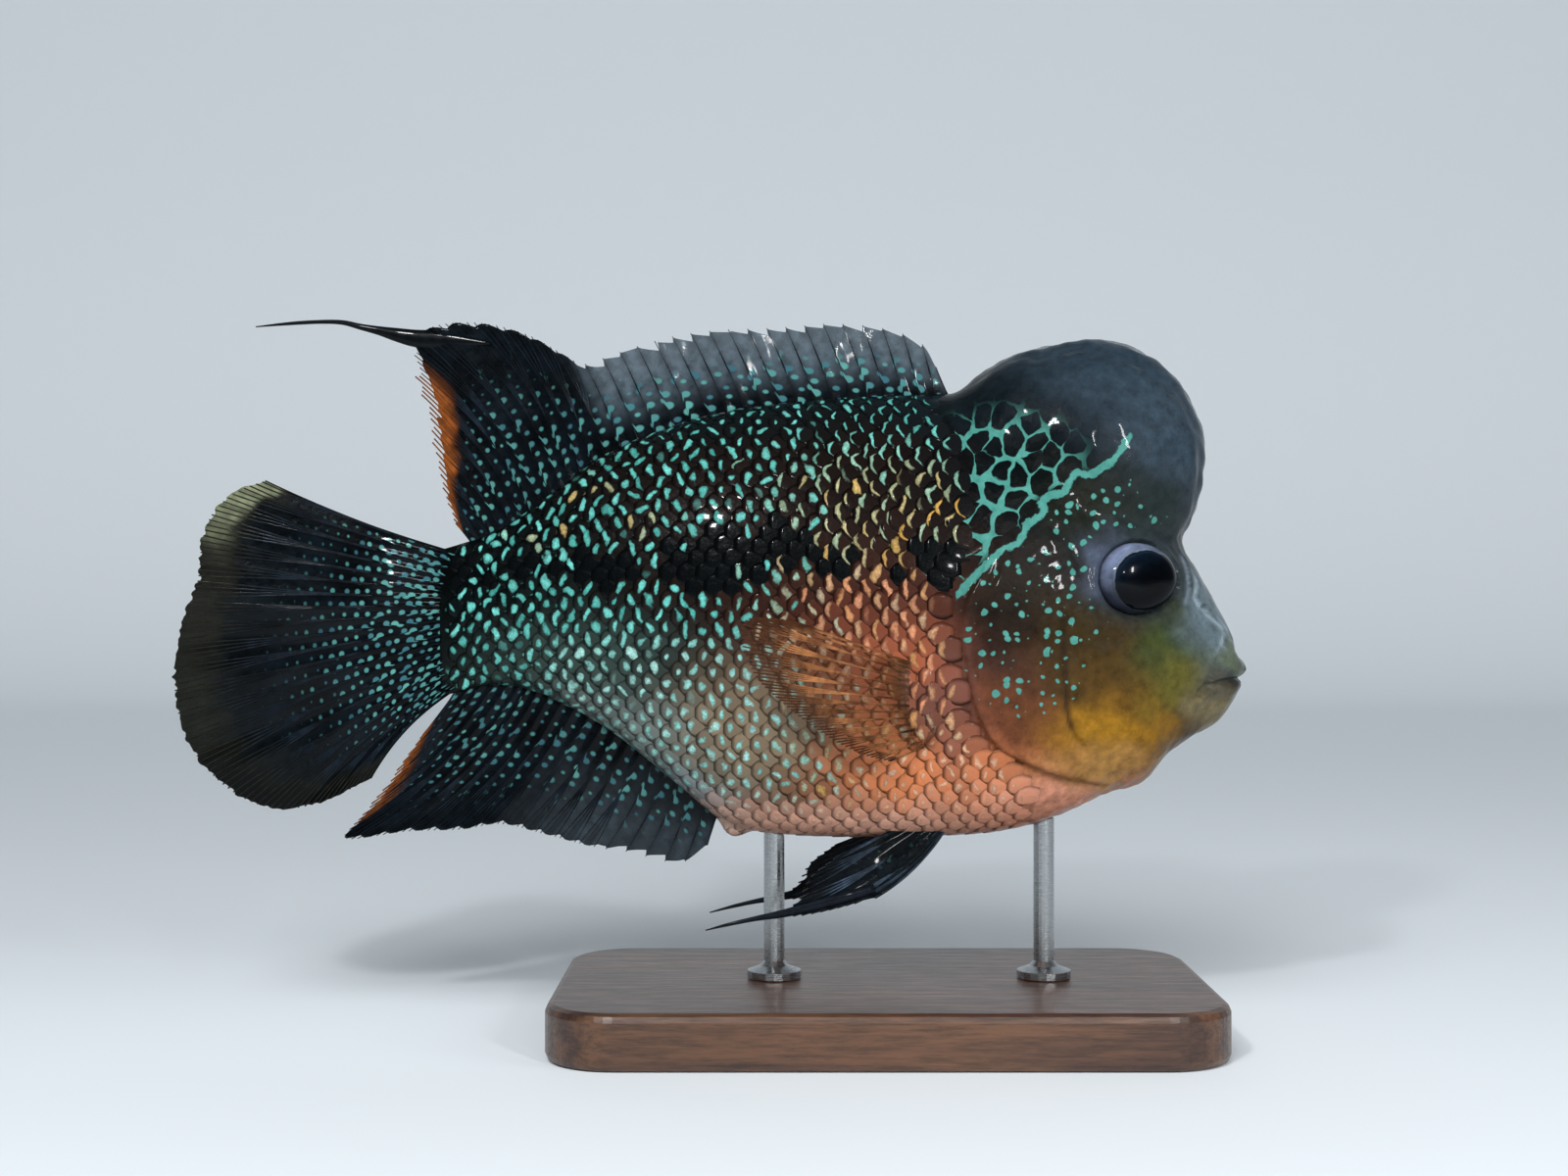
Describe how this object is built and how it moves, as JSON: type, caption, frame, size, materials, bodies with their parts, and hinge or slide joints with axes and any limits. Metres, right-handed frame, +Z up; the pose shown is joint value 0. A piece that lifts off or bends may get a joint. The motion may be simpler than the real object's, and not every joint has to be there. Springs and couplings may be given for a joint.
{
  "type": "flowerhorn cichlid model",
  "caption": "Life-size still model of a flowerhorn cichlid with a tall nuchal hump, pearled flanks and long dark fins, on a flat wooden base.",
  "frame": {"origin": "centre of the stand base's underside", "axes": "+X towards the fish's snout, +Y towards its left side, +Z up"},
  "size_m": [0.2186, 0.078, 0.1459],
  "materials": {
    "skin_head": "wet olive-brown skin with turquoise dots",
    "skin_hump": "wet slate-grey skin",
    "skin_trunk": "wet scales with turquoise and gold marks",
    "skin_tail": "wet black scales with turquoise pearls",
    "fin_dark": "wet near-black membrane with pale blue spots",
    "fin_clear": "wet clear brown membrane",
    "eye": "polished, dark pupil in a blue-grey ring",
    "stand_wood": "satin dark walnut",
    "stand_steel": "satin"
  },
  "bodies": {
    "root": {"head": "skin_head", "nuchal_hump": "skin_hump", "trunk": "skin_trunk", "tail": "skin_tail", "dorsal_fin": "fin_dark", "anal_fin": "fin_dark", "caudal_fin": "fin_dark", "pectoral_fin_left": "fin_clear", "pectoral_fin_right": "fin_clear", "pelvic_fin_left": "fin_dark", "pelvic_fin_right": "fin_dark", "eye_left": "eye", "eye_right": "eye", "stand_base": "stand_wood", "stand_rod_front": "stand_steel", "stand_rod_rear": "stand_steel"}
  },
  "joints": []
}
